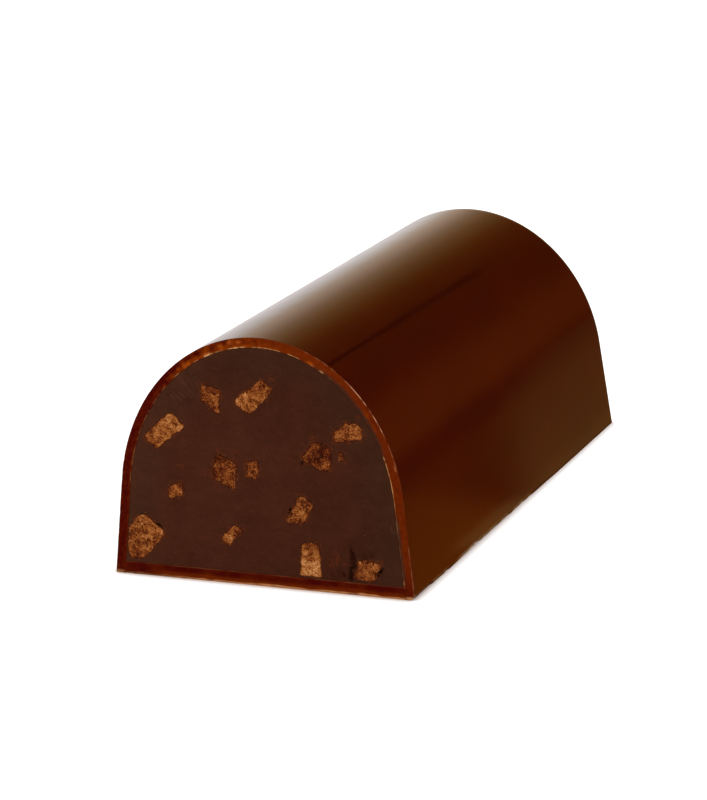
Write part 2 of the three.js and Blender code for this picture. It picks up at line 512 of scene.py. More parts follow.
def moulded_chocolate():
    """Tempered chocolate from the mould: glossy, with faint cloudiness."""
    finish = Finish("moulded_chocolate", 0.14, 0.5)
    tone = colours().moulded
    cloud = finish.between(finish.noise(9 * MM, 2, (1, 2.5, 1)), 0.3, 0.7)
    colour = finish.mix(cloud, scaled(tone, 0.9), scaled(tone, 1.1))
    speck = finish.between(finish.noise(1.3 * MM, 0), 0.84, 0.88, 0, 0.5)
    colour = finish.mix(speck, colour, colours().speck)
    # The crease is darkened in colour: painted shade along its shallow groove.
    creased = (0.55 * tone[0], 0.15 * tone[1], tone[2])
    colour = finish.mix(finish.mark("crease"), colour, creased)
    colour = finish.mix(finish.mark("pale"), colour, colours().pale)
    roughness = finish.between(finish.noise(5 * MM, 3), 0.3, 0.7, 0.1, 0.16)
    return finish.finish(colour, roughness, finish.noise(0.6 * MM, 2), 0.001 * MM)


def sawn_colour(finish, patch_size):
    """Sawn chocolate, maroon to orange-brown by its warmth mark, pale where it crumbled and in the painted
    highlight along the foot.
    """
    patches = finish.noise(patch_size, 3)
    # On the rim the warmth mark is partly painted light.
    warmth = finish.maths("ADD", finish.mark("warm"), finish.between(patches, 0.3, 0.7, -0.07, 0.07))
    colour = finish.mix(warmth, colours().sawn_maroon, colours().sawn_warm)
    colour = finish.mix(finish.mark("smear"), colour, colours().truffle_rim)
    return finish.mix(finish.mark("pale"), colour, colours().pale)


def sawn_chocolate():
    """The shell where the saw went through: satin, redder towards the feet, pale where it crumbled and in
    painted highlights.
    """
    finish = Finish("sawn_chocolate", 0.15, 0.02)
    colour = sawn_colour(finish, 0.8 * MM)
    inset, wall = finish.mark("inset"), sizes().wall
    by_inner_edge = (wall - 0.22 * MM, wall - 0.08 * MM)
    by_outer_edge = (0.13 * MM, 0.04 * MM)
    # The pale lines along the rim's inner and outer edges are painted highlights.
    inner = finish.maths("MULTIPLY", finish.mark("inner_highlight"), finish.between(inset, *by_inner_edge))
    outer = finish.maths("MULTIPLY", finish.mark("outer_highlight"), finish.between(inset, *by_outer_edge))
    colour = finish.mix(inner, colour, colours().inner_highlight_tone)
    colour = finish.mix(outer, colour, colours().outer_highlight)
    roughness = finish.between(finish.noise(0.6 * MM, 3), 0.3, 0.7, 0.12, 0.2)
    return finish.finish(colour, roughness, finish.noise(0.25 * MM, 2), 0.006 * MM)


def poured_chocolate():
    """The base layer's sawn edge and its flat underside."""
    finish = Finish("poured_chocolate", 0.15, 0.02)
    colour = sawn_colour(finish, 1.8 * MM)
    roughness = finish.between(finish.noise(0.8 * MM, 3), 0.3, 0.7, 0.12, 0.2)
    return finish.finish(colour, roughness, finish.noise(0.3 * MM, 2), 0.006 * MM)


def cut_truffle():
    """Firm truffle cut with a warm knife: matt and mottled, a little darker to the right and to the top."""
    finish = Finish("cut_truffle", 0.6, 0.0)
    cloud = finish.noise(6 * MM, 4)
    streak = finish.noise(1.0 * MM, 3, (1.8, 1, 1))
    grain = finish.noise(0.36 * MM, 3, roughness=0.65)
    tone = finish.mix(finish.mark("by_shell"), colours().truffle, colours().truffle_rim)
    to_right = finish.between(finish.part(finish.place, "X"), -8 * MM, 18 * MM, 0.01, -0.1)
    to_top = finish.between(finish.part(finish.place, "Z"), 24 * MM, 35 * MM, 0, -0.07)
    blend = finish.maths("ADD", finish.maths("MULTIPLY", cloud, 0.4), finish.maths("MULTIPLY", streak, 0.25))
    blend = finish.maths("ADD", blend, finish.maths("MULTIPLY", grain, 0.35))
    for darker in (to_right, to_top):
        blend = finish.maths("ADD", blend, darker)
    shade = finish.node("ShaderNodeVectorMath", operation="SCALE")
    finish.put(tone, shade.inputs[0])
    finish.put(finish.between(blend, 0.36, 0.64, 0.78, 1.22), shade.inputs["Scale"])
    colour = shade.outputs[0]
    reddish = finish.between(finish.noise(0.7 * MM, 2), 0.7, 0.8, 0, 0.8)
    colour = finish.mix(reddish, colour, colours().reddish)
    colour = finish.mix(finish.mark("scratch"), colour, colours().stroke)
    colour = finish.mix(finish.mark("crumb_dust"), colour, colours().toasted)
    # Painted shade in the hollows.
    colour = finish.mix(finish.mark("hollow"), colour, colours().hollow)
    return finish.finish(colour, finish.between(cloud, 0.3, 0.7, 0.5, 0.62), grain, 0.012 * MM)


def biscuit_crumb():
    """Crisp baked crumb: bright grains on a baked ground, pores darkened with painted shade, and truffle
    smeared on its edge.
    """
    finish = Finish("biscuit_crumb", 0.85, 0.0)
    grain = finish.between(finish.noise(0.24 * MM, 3, roughness=0.8), 0.3, 0.7, 0, 0.76)
    coarse = finish.between(finish.noise(0.9 * MM, 2), 0.3, 0.7, -0.04, 0.38)
    level = finish.maths("ADD", grain, coarse)
    # The pore mark darkens the crumb as painted shade in the pores.
    for mark, strength in (("baked", 0.34), ("edge", 0.14), ("pore", 0.2)):
        level = finish.maths("SUBTRACT", level, finish.maths("MULTIPLY", finish.mark(mark), strength))
    colour = finish.mix(finish.between(level, -0.02, 0.22), colours().pore, colours().toasted)
    colour = finish.mix(finish.between(level, 0.22, 0.55), colour, colours().golden)
    colour = finish.mix(finish.between(level, 0.55, 0.92), colour, colours().bright)
    patchy = finish.between(finish.noise(0.35 * MM, 3), 0.3, 0.7, -0.5, 0.5)
    smeared = finish.maths("ADD", finish.mark("edge"), patchy)
    colour = finish.mix(finish.between(smeared, 0.45, 1.0, 0, 0.9), colour, colours().truffle)
    return finish.finish(colour, None, grain, 0.05 * MM)


# ---- The moulded shell -----------------------------------------------------------------------------


# How high up the side the scrape at the foot reaches, and how far the ledge beside the cut face goes in.
SCRAPE_HEIGHT = 0.8 * MM
LEDGE_DEPTH = 0.5 * MM


def arc_length(across, up):
    steps = np.hypot(np.diff(across), np.diff(up))
    return np.concatenate([[0], np.cumsum(steps)])


def foot_scrape(along, height):
    """How far the outer foot is scraped in: a wavering edge, and an undercut beside the cut face."""
    distance = along - CUT_FACE
    reach = CLOSED_END - CUT_FACE
    notches = ease(wander(along, 0, 2.6 * MM, 5), 0.6, 0.95)
    wave = 1 + 0.35 * wander(along, 0, 9 * MM, 3) + 0.3 * wander(along, 0, 2 * MM, 4) + 0.7 * notches
    wave = wave * stretch(distance, 0, 1.2 * MM, 0.45 * reach, 0.72 * reach)
    scraped = sizes().foot_scrape * np.clip(wave, 0, 3) * (1 - ease(height, 0, SCRAPE_HEIGHT))
    ledge_end = sizes().ledge_length
    ledge = stretch(distance, 0, 0.5 * MM, 0.88 * ledge_end, ledge_end)
    undercut = LEDGE_DEPTH * ledge * (1 - ease(height, 0.42 * MM, 0.55 * MM))
    return np.maximum(scraped, undercut)


def rounded_corner(across, up):
    """How far the right foot of the cut face is rounded in at each point of the section."""
    radius = sizes().corner_rounding
    below = np.clip(radius - up, 0, radius)
    return np.where(across > 0, radius - np.sqrt(radius**2 - below**2), 0)


# Places round the rim are distances from the top of the crown in mm, negative to the left.
# Warmth of the sawn chocolate: 0 is maroon and 1 orange-brown. It is partly painted light, warmer on the top
# and right of the rim than on the left, and partly the chocolate's own mottled tone.
RIM_WARMTH_AND_LIGHT = (
    (-52.4, 0.03), (-24, 0.04), (-20, 0.12), (-17, 0.27), (-12, 0.34), (-6, 0.3), (0, 0.3),
    (9, 0.34), (24, 0.26), (47, 0.28), (51.5, 0.12),
)
# Thin pale lines along the rim's inner and outer edges, painted highlights where the edges catch light:
# where they start and end, and strength. Both ends fade over the width below, in mm, to either side.
HIGHLIGHT_FADE = 0.25
INNER_HIGHLIGHTS = (
    (-37, -24, 0.1), (-22.5, -18.8, 0.12), (-16.2, -15.2, 0.2), (-12, -11, 0.25),
    (-9.6, -7.9, 0.95), (-7.6, -6.0, 0.25), (-5.3, -3.2, 0.95), (-3.0, 1.8, 0.65), (1.8, 4.2, 0.35),
    (5.6, 7.8, 0.45), (9.4, 10.4, 0.2), (11.6, 12.6, 0.4), (13.6, 14.4, 0.15), (29.2, 37.6, 0.5),
    (37.6, 41.5, 0.16), (41.5, 49, 0.06),
)
OUTER_HIGHLIGHTS = (
    (1, 8, 0.05), (8, 16, 0.18), (16, 25.5, 0.75), (25.5, 31, 0.2), (31, 38, 0.03), (44, 51.8, 0.2),
)
# Single chips: place, inset and radius in mm, how pale, and how much warmer than the chocolate round them.
RIM_CHIPS = (
    (-8.9, 1.35, 0.4, 0.45, 0.3), (-4.6, 0.55, 0.4, 0.12, 0.5), (-3.0, 0.6, 0.3, 0.1, 0.5),
    (-13.2, 1.2, 0.7, 0.04, 0.5), (-6.2, 0.9, 0.4, 0.05, 0.4), (9.8, 1.35, 0.5, 0.02, 0.75),
    (12.2, 1.4, 0.3, 0.15, 0.2), (31.4, 0.2, 0.25, 0.2, 0.2), (49.8, 1.45, 0.28, 0.5, 0.3),
    (22, 1.0, 0.5, 0.0, 0.25), (24.5, 0.9, 0.5, 0.0, 0.2),
)


def highlights_at(lines, from_top):
    """How strong the painted highlight lines are at places round the rim."""
    place = from_top / MM
    strength = np.zeros_like(place)
    for start, end, full in lines:
        line = stretch(place, start - HIGHLIGHT_FADE, start + HIGHLIGHT_FADE, end - HIGHLIGHT_FADE, end + HIGHLIGHT_FADE)
        strength = np.maximum(strength, full * line)
    return strength


class NOUGAT_OT_shell(bpy.types.Operator):
    """Make the moulded shell, with its sawn rim and closed end"""

    bl_idname = "nougat.shell"
    bl_label = "Moulded Shell"

    # Rings of points over the sawn rim, as shares of the wall from its inner edge.
    RIM_SHARES = (
        0, 0.035, 0.07, 0.11, 0.15, 0.2, 0.25, 0.31, 0.37, 0.43, 0.49, 0.55, 0.61, 0.67, 0.73, 0.79,
        0.85, 0.9, 0.94, 0.97, 1,
    )
    # How far the saw's ripple and the crease are sunk, and how far the crease drifts down over each mm.
    SAW_RIPPLE = 0.012 * MM
    CREASE_DEPTH = 0.012 * MM
    CREASE_DRIFT = math.radians(0.029)
    # Distances of the first rings of the outside from the cut face, where the edge is finest.
    NEAR_RINGS = np.array([0.13, 0.35, 0.6, 1.0, 1.6, 2.4]) * MM

    def rim_warmth_and_light(self, inset, from_top):
        """How warm the sawn chocolate is at points of one ring, before its chips: partly painted light,
        partly mottled tone.
        """
        wall, place = sizes().wall, from_top / MM
        warm = np.interp(place, *zip(*RIM_WARMTH_AND_LIGHT))
        mottled = stretch(place, -22, -17, -2, 3)
        spots = 0.2 * wander(from_top, inset * 1.5, 1.5 * MM, 11)
        spots = spots + 0.26 * wander(from_top, inset * 1.2, 0.55 * MM, 27)
        warm = warm + mottled * spots + 0.04 * wander(from_top, inset * 2, 0.5 * MM, 12)
        dark_streak = stretch(place, -24, -19, -13, -9) * (1 - ease(inset, 0.5 * MM, 1.0 * MM))
        warm = warm - 0.3 * dark_streak
        warm = warm + 0.16 * stretch(place, -20, -13, 1, 8) * ease(inset, 0.5 * MM, 1.2 * MM)
        left = 1 - ease(place, -36, -22)
        warm = warm + 0.09 * left * ease(inset, wall - 0.45 * MM, wall - 0.1 * MM)
        return warm + 0.07 * left * (1 - ease(inset, 0.1 * MM, 0.4 * MM))

    def rim_marks(self, inset, from_top, up):
        """The marks of the rim at points of one ring."""
        place = from_top / MM
        warm = self.rim_warmth_and_light(inset, from_top)
        pale = np.zeros_like(place)
        for chip_place, chip_inset, radius, paler, warmer in RIM_CHIPS:
            away = np.hypot((place - chip_place) * 0.5, inset / MM - chip_inset)
            chip = 1 - ease(away + 0.16 * wander(from_top, inset, 0.3 * MM, 18), 0.1 * radius, radius)
            pale = pale + paler * chip
            warm = warm + warmer * chip
        # Paler along the foot: a painted highlight where the chipped bottom edge catches light from the
        # table.
        foot = (1 - ease(up, 0.3 * MM, 0.6 * MM)) * np.where(place > 0, 0.9, 0.5)
        pale = pale + foot * (0.7 + 0.5 * wander(inset, 0, 0.5 * MM, 19))

        right_side = stretch(place, 9, 14, 27, 31) + ease(place, 38, 41)
        smear = right_side * ease(inset, 0.92 * MM, 1.3 * MM) * (1 - ease(place, 49, 50.5))
        smear = smear * (0.85 + 0.25 * wander(from_top, inset, 0.7 * MM, 20))
        broken = 0.65 + 0.8 * wander(from_top, 0, 0.6 * MM, 13) + 0.4 * wander(from_top, 0, 0.28 * MM, 14)
        broken = np.clip(broken, 0, 1)
        return {
            "warm": np.clip(warm, 0, 1.1),
            "pale": np.clip(pale, 0, 1),
            "smear": np.clip(smear, 0, 1),
            "inset": inset,
            "inner_highlight": highlights_at(INNER_HIGHLIGHTS, from_top) * broken,
            "outer_highlight": highlights_at(OUTER_HIGHLIGHTS, from_top) * broken,
        }

    def rim(self):
        """Rings of points over the sawn rim, from the inner edge to the outer, with their marks."""
        bar = sizes()
        across, up = arch(0)
        length = arc_length(across, up)
        from_top = length - length[-1] / 2
        crumble = 0.5 + 0.5 * wander(length, 0, 0.9 * MM, 21)
        inner_chips = ease(wander(length, 0, 1.3 * MM, 22), 0.35, 0.8)
        outer_chips = ease(wander(length, 0, 1.1 * MM, 23), 0.45, 0.85)
        inner_wear = bar.edge_wear * (0.15 + 0.25 * crumble + 0.4 * inner_chips)
        outer_wear = bar.edge_wear * (0.35 + 0.4 * (1 - crumble) + 0.7 * outer_chips)
        rings, marks = [], []
        first, last = self.RIM_SHARES[1], self.RIM_SHARES[-2]
        for share in self.RIM_SHARES:
            within = np.clip((share - first) / (last - first), 0, 1)
            inset = (bar.wall - inner_wear) * (1 - within) + outer_wear * within
            set_back = self.SAW_RIPPLE * (1 + wander(length, share, 0.7 * MM, 24))
            if share == 0:
                inset, set_back = np.full_like(length, bar.wall), inner_wear
            if share == 1:
                inset, set_back = np.zeros_like(length), outer_wear
            line = self.inset_line(inset)
            pulled = rounded_corner(across, up) * (1 - inset / bar.wall)
            rings.append(np.stack([line[0] - pulled, CUT_FACE + set_back, line[1]], axis=1))
            marks.append(self.rim_marks(inset, from_top, up))
        return rings, marks

    def inset_line(self, inset):
        """The section line with its own inset at each point."""
        outer, inner = arch(0), arch(sizes().wall)
        share = inset / sizes().wall
        return [outer[i] + (inner[i] - outer[i]) * share for i in (0, 1)]

    def inside(self):
        """Rings of the cavity's wall, from the closed end to just behind the sawn rim."""
        across, up = arch(sizes().wall)
        rings = []
        for share in (1, 0.6, 0.2, 0.05, 0.01):
            along = CUT_FACE + share * (end_plane(up, sizes().wall) - CUT_FACE)
            rings.append(np.stack([across, along, up], axis=1))
        return rings

    def crease(self, along, lean, length):
        """How deep in the crease each point of a ring lies, from 0 to 1; the same share sinks the groove and
        sets its painted shade.
        """
        bar = sizes()
        distance = along - CUT_FACE
        waver = math.radians(0.12) * wander(along, 0, 9 * MM, 25)
        heading = bar.crease_lean + self.CREASE_DRIFT * distance / MM + waver
        offset = length - np.interp(heading, lean, length)
        fade = 1 - ease(distance, 0.85 * bar.crease_length, 1.1 * bar.crease_length)
        fade = fade * (0.9 + 0.2 * wander(along, 0, 6 * MM, 26))
        half_width = 0.5 * bar.crease_width * (1 + 0.8 * ease(distance, 15 * MM, 40 * MM))
        return np.exp(-((offset / half_width) ** 2)) * fade

    def outside(self):
        """Rings of the moulded surface, from the sawn rim over the rounding to the closed end."""
        bar = sizes()
        across, up = arch(0)
        length = arc_length(across, up)
        lean = np.arctan2(-np.gradient(up), np.gradient(across))
        near = self.NEAR_RINGS / (CLOSED_END - CUT_FACE)
        rings, crease_shades = [], []
        for share in np.concatenate([near, np.linspace(0.034, 1, 96)]):
            far = end_plane(up, 0) - bar.end_rounding
            along = CUT_FACE + share * (far - CUT_FACE)
            corner = rounded_corner(across, up) * (1 - ease(along - CUT_FACE, 0.3 * MM, 2.6 * MM))
            scrape = np.maximum(foot_scrape(along, up), corner) * -np.sign(across)
            groove = self.crease(along, lean, length)
            sunk = self.CREASE_DEPTH * groove
            in_by, down_by = sunk * np.sin(lean), sunk * np.cos(lean)
            rings.append(np.stack([across + scrape - in_by, along, up - down_by], axis=1))
            crease_shades.append(groove)
        for turn in np.linspace(0, math.pi / 2, 9)[1:]:
            drawn_in = bar.end_rounding * (1 - math.cos(turn))
            across_in, up_in = arch(drawn_in)
            along = end_plane(up_in, 0) - bar.end_rounding * (1 - math.sin(turn))
            rings.append(np.stack([across_in, along, up_in], axis=1))
        for further in (0.4 * MM, 1.6 * MM):
            across_in, up_in = arch(bar.end_rounding + further)
            rings.append(np.stack([across_in, end_plane(up_in, 0), up_in], axis=1))
        crease_shades += [np.zeros_like(length)] * (len(rings) - len(crease_shades))
        return rings, crease_shades

    def execute(self, context):
        rim, rim_marks = self.rim()
        inside = self.inside()
        outside, crease_shades = self.outside()
        rings = inside + rim + outside
        count = len(rings[0])
        blank = np.zeros(count)
        marks = {}
        for mark in rim_marks[0]:
            on_rim = [ring[mark] for ring in rim_marks]
            marks[mark] = np.concatenate([blank] * len(inside) + on_rim + [blank] * len(outside))
        # The crease mark sets the painted shade along the crease.
        marks["crease"] = np.concatenate([blank] * (len(inside) + len(rim)) + crease_shades)
        faces = grid_faces(len(rings), count)
        ring_of = np.repeat(np.arange(len(rings) - 1), count - 1)
        moulded_from = len(inside) + len(rim)
        slots = np.where(ring_of >= moulded_from, 0, 1)
        last = (len(rings) - 1) * count
        caps = [list(range(count)), list(range(last + count - 1, last - 1, -1))]
        piece = finished(
            "shell",
            np.concatenate(rings),
            [*faces.tolist(), *caps],
            [moulded_chocolate(), sawn_chocolate()],
            marks,
            [*slots, 1, 0],
        )
        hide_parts("moulded_shell")
        return {"FINISHED"}


# ---- The poured base layer -------------------------------------------------------------------------


class NOUGAT_OT_base_layer(bpy.types.Operator):
    """Make the base layer poured between the feet of the shell"""

    bl_idname = "nougat.base_layer"
    bl_label = "Base Layer"

    COLUMNS = 420
    CLEARANCE = 0.02 * MM
    SAW_RIPPLE = 0.02 * MM
    # Heights of the sawn edge's lower rows of points, and distances of the rows of its top and its
    # underside from the cut face.
    LOWER_ROWS = np.array([0.52, 0.45, 0.38, 0.31, 0.24, 0.18]) * MM
    TOP_ROWS = (8 * MM, 0.5 * MM, 0.07 * MM)
    UNDER_ROWS = (1 * MM, 8 * MM)

    def edge_marks(self, across, up):
        """Warmth and paleness of the sawn edge at a height: a maroon band, warmer below, on a pale foot
        painted as a highlight.
        """
        middle = 0.92 * MM + 0.12 * MM * wander(across, 0, 5 * MM, 31)
        warm = 0.3 * (1 - ease(up, middle - 0.4 * MM, middle + 0.3 * MM)) * ease(across, -21 * MM, -15 * MM)
        warm = warm + 0.05 + 0.04 * wander(across, up * 2, 3 * MM, 32)
        warm = warm + 0.03 * wander(across, up * 2, 0.5 * MM, 30)
        # The pale foot is a painted highlight along the chipped bottom edge, broken by gaps.
        thickness = 0.27 * MM + 0.08 * MM * ease(across, -12 * MM, 2 * MM)
        thickness = thickness + 0.12 * MM * wander(across, 0, 4 * MM, 33)
        thickness = thickness + 0.08 * MM * wander(across, 0, 1.1 * MM, 34)
        gaps = wander(across, 0, 2.2 * MM, 35) + 0.4 * ease(across, -16 * MM, -10 * MM)
        foot = 1 - ease(up, thickness - 0.1 * MM, thickness + 0.05 * MM)
        foot = foot * (0.3 + 0.7 * ease(gaps, -0.6, 0.0))
        foot = foot * (0.3 + 0.7 * ease(across, -17 * MM, -11 * MM))
        foot = foot * (0.88 + 0.3 * wander(across, up * 3, 0.9 * MM, 36))
        lip = 0.12 * ease(up, BASE_TOP - 0.16 * MM, BASE_TOP - 0.04 * MM)
        lip = lip * (1 + 0.7 * wander(across, 0, 1.6 * MM, 37))
        return np.clip(warm, 0, 1), np.clip(foot + lip, 0, 1)

    def rows(self):
        """Rows of points round the layer, from its top over the sawn edge to its underside, and where
        the sawn edge starts and ends among them."""
        bar = sizes()
        reach = np.linspace(-1, 1, self.COLUMNS)
        lean = math.tan(bar.side_draft)

        def row(height, along):
            half = FOOT_HALF_WIDTH - height * lean - bar.wall / math.cos(bar.side_draft) - self.CLEARANCE
            across = reach * half
            return np.stack([across, along * np.ones_like(across), height * np.ones_like(across)], axis=1)

        across = reach * FOOT_HALF_WIDTH
        chips = ease(wander(across, 0, 2 * MM, 38), 0.4, 0.9)
        low_wear = bar.edge_wear * np.clip(0.7 + 0.4 * wander(across, 0, 1.1 * MM, 39) + 0.8 * chips, 0.2, 2)
        far = end_plane(0, bar.wall + self.CLEARANCE)
        top = BASE_TOP - self.CLEARANCE
        rows = [row(top, far)] + [row(top, CUT_FACE + distance) for distance in self.TOP_ROWS]
        sawn_from = len(rows) - 1
        for height in np.concatenate([np.linspace(top - 0.06 * MM, 0.6 * MM, 9), self.LOWER_ROWS]):
            rows.append(row(height, CUT_FACE + self.SAW_RIPPLE * (1 + wander(across, height, 0.9 * MM, 40))))
        rows.append(row(np.minimum(low_wear, 0.15 * MM), CUT_FACE + self.SAW_RIPPLE + 0.2 * low_wear))
        rows.append(row(0, CUT_FACE + low_wear + self.SAW_RIPPLE))
        sawn_to = len(rows)
        rows += [row(0, CUT_FACE + distance) for distance in self.UNDER_ROWS] + [row(0, far)]
        return rows, sawn_from, sawn_to

    def execute(self, context):
        rows, sawn_from, sawn_to = self.rows()
        points = np.concatenate(rows)
        warm, pale = self.edge_marks(points[:, 0], points[:, 2])
        row_of = np.arange(len(points)) // self.COLUMNS
        sawn = (row_of >= sawn_from) & (row_of < sawn_to)
        faces = grid_faces(len(rows), self.COLUMNS).tolist()
        last = (len(rows) - 1) * self.COLUMNS
        for i in range(self.COLUMNS - 1):
            faces.append([i, last + i, last + i + 1, i + 1])
        marks = {"warm": warm * sawn, "pale": pale * sawn}
        piece = finished("base", points, faces, [poured_chocolate()], marks)
        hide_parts("base_layer")
        return {"FINISHED"}


# ---- Biscuit outlines ------------------------------------------------------------------------------


# How rounded the outlines of the pieces without clean corners are, in spokes.
SOFTNESS = {
    "biscuit_12": 5, "biscuit_04": 3, "biscuit_06": 5, "biscuit_07": 5, "biscuit_09": 2,
    "biscuit_10": 4, "biscuit_14": 3,
}
# Knocked-off corners and bulges of single pieces: heading and width in degrees, and reach in mm.
KNOCKS = {
    "biscuit_01": ((76, 12, -0.5),),
    "biscuit_02": ((282, 18, 0.45),),
    "biscuit_03": ((257, 9, -0.45), (194, 8, -0.25)),
    "biscuit_04": ((170, 20, 0.3),),
    "biscuit_05": ((-15, 22, 0.4), (200, 15, -0.3), (58, 10, -0.2)),
    "biscuit_09": ((56, 18, -1.05),),
    "biscuit_10": ((90, 15, 0.5), (214, 12, 0.5), (275, 20, -0.3)),
    "biscuit_11": ((196, 12, -0.9), (150, 25, -0.3)),
    "biscuit_12": ((25, 13, 0.5), (-8, 10, -0.45), (-43, 16, -0.5), (151, 12, 0.28), (110, 12, 0.2)),
    "biscuit_14": ((138, 18, 0.55), (-45, 20, 0.5), (-140, 15, 0.25)),
}
# Pieces that broke along straight lines, so their outlines waver less.
STRAIGHT = ("biscuit_01", "biscuit_03", "biscuit_05", "biscuit_11", "biscuit_13")


class Outline:
    """Where one biscuit piece meets the cut face: its middle, and its reach in every direction."""

    SPOKES = 144
    # How rounded the corners of the other pieces are, and how far a rounding reaches, in spokes.
    CRISP = 1.4
    ROUNDED_OVER = 24

    def __init__(self, name):
        points = np.array([v.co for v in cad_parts[name].data.vertices])
        rim = points[points[:, 1] < CUT_FACE + 0.01 * MM][:, [0, 2]]
        self.seed = BISCUITS.index(name) + 1
        self.middle = (rim.min(0) + rim.max(0)) / 2
        self.depth = points[:, 1].max() - CUT_FACE
        self.turns = np.linspace(-math.pi, math.pi, self.SPOKES, endpoint=False)
        self.reach = self.rounded(self.reach_to(rim), SOFTNESS.get(name, self.CRISP))
        for knock_heading, width, change in KNOCKS.get(name, ()):
            off = (np.degrees(self.turns) - knock_heading + 180) % 360 - 180
            self.reach += change * MM * np.exp(-0.5 * (off / width) ** 2)
        self.waver = 0.03 * MM if name in STRAIGHT else 0.07 * MM
        self.size = math.sqrt(np.mean(self.reach**2))

    def reach_to(self, rim):
        """How far each spoke runs to the straight lines between the solid's corners."""
        turn = np.arctan2(rim[:, 1] - self.middle[1], rim[:, 0] - self.middle[0])
        order = np.argsort(turn)
        turn, rim = turn[order], rim[order]
        around = np.concatenate([turn - 2 * math.pi, turn, turn + 2 * math.pi])
        corners = np.concatenate([rim, rim, rim]) - self.middle
        reach = np.empty(self.SPOKES)
        for i, angle in enumerate(self.turns):
            after = np.searchsorted(around, angle)
            a, b = corners[after - 1], corners[after % len(corners)]
            heading = np.array([math.cos(angle), math.sin(angle)])
            side = b - a
            reach[i] = (a[0] * side[1] - a[1] * side[0]) / (heading[0] * side[1] - heading[1] * side[0])
        return reach

    def rounded(self, reach, softness):
        """The reach with its corners rounded by a bell, softness spokes wide."""
        span = self.ROUNDED_OVER
        bell = np.exp(-0.5 * (np.arange(-span, span + 1) / softness) ** 2)
        wrapped = np.concatenate([reach[-span:], reach, reach[:span]])
        return np.convolve(wrapped, bell / bell.sum(), "valid")

    def ragged(self):
        """The broken edge's reach in every direction."""
        around = self.turns * self.size
        coarse = wander(around, 0, 0.9 * MM, self.seed * 31)
        fine = wander(around, 0, 0.3 * MM, self.seed * 57)
        return self.reach + self.waver * coarse + 0.06 * MM * fine

    def inside_by(self, across, up, reach):
        """How far points lie inside the outline. Negative outside."""
        right, above = across - self.middle[0], up - self.middle[1]
        turn = np.arctan2(above, right)
        edge = np.interp(turn, self.turns, reach, period=2 * math.pi)
        return edge - np.hypot(right, above)


# ---- The truffle filling ---------------------------------------------------------------------------


# Open hollows and shaded dips beside biscuit pieces, sunk and darkened with painted shade: across, up,
# half width and half height in mm, turn in degrees, and how deep from 0 to 1.
HOLLOWS = (
    (14.9, 6.1, 0.3, 0.8, 8, 1), (15.0, 4.8, 0.42, 0.75, -6, 1), (14.6, 3.0, 0.26, 0.8, 6, 1),
    (13.5, 2.9, 0.14, 0.4, 25, 0.6), (12.6, 3.6, 0.3, 0.5, -20, 0.25),
    (11.6, 2.8, 0.3, 0.4, 10, 0.25), (19.3, 3.9, 0.12, 0.6, -38, 1), (16.9, 6.4, 1.2, 0.5, 4, 0.35),
    (4.8, 12.5, 0.16, 0.5, -20, 1), (-8.2, 18.0, 0.16, 0.25, 10, 0.9),
    (-19.2, 9.5, 0.2, 0.14, -30, 1), (-17.5, 8.3, 0.5, 0.3, -35, 0.6), (7.0, 20.4, 0.14, 0.2, 0, 1),
    (-4.9, 16.1, 0.3, 0.3, 0, 0.5),
)
# Patches of fine crumb dust in the truffle: across, up, radius in mm, and strength.
DUST = (
    (11.8, 5.4, 1.9, 0.5), (12.8, 7.4, 1.0, 0.35), (13.7, 4.9, 0.9, 0.5), (16.2, 4.6, 0.8, 0.5),
    (-6.6, 20.6, 1.4, 0.7), (-4.0, 21.0, 1.0, 0.5), (-9.0, 17.6, 0.9, 0.6), (9.0, 24.2, 0.9, 0.9),
    (16.2, 27.9, 1.0, 0.7), (12.2, 25.6, 1.0, 0.7), (-9.6, 31.4, 0.9, 0.5), (17.2, 25.4, 0.8, 0.5),
    (-16.4, 7.4, 1.2, 0.6), (-14.4, 3.9, 0.8, 0.5), (-13.3, 18.6, 0.9, 0.6), (6.6, 15.2, 0.9, 0.4),
    (19.9, 5.6, 0.9, 0.5), (-2.4, 6.0, 0.5, 0.3), (2.4, 33.4, 0.9, 0.5), (5.2, 20.8, 0.5, 0.6),
)


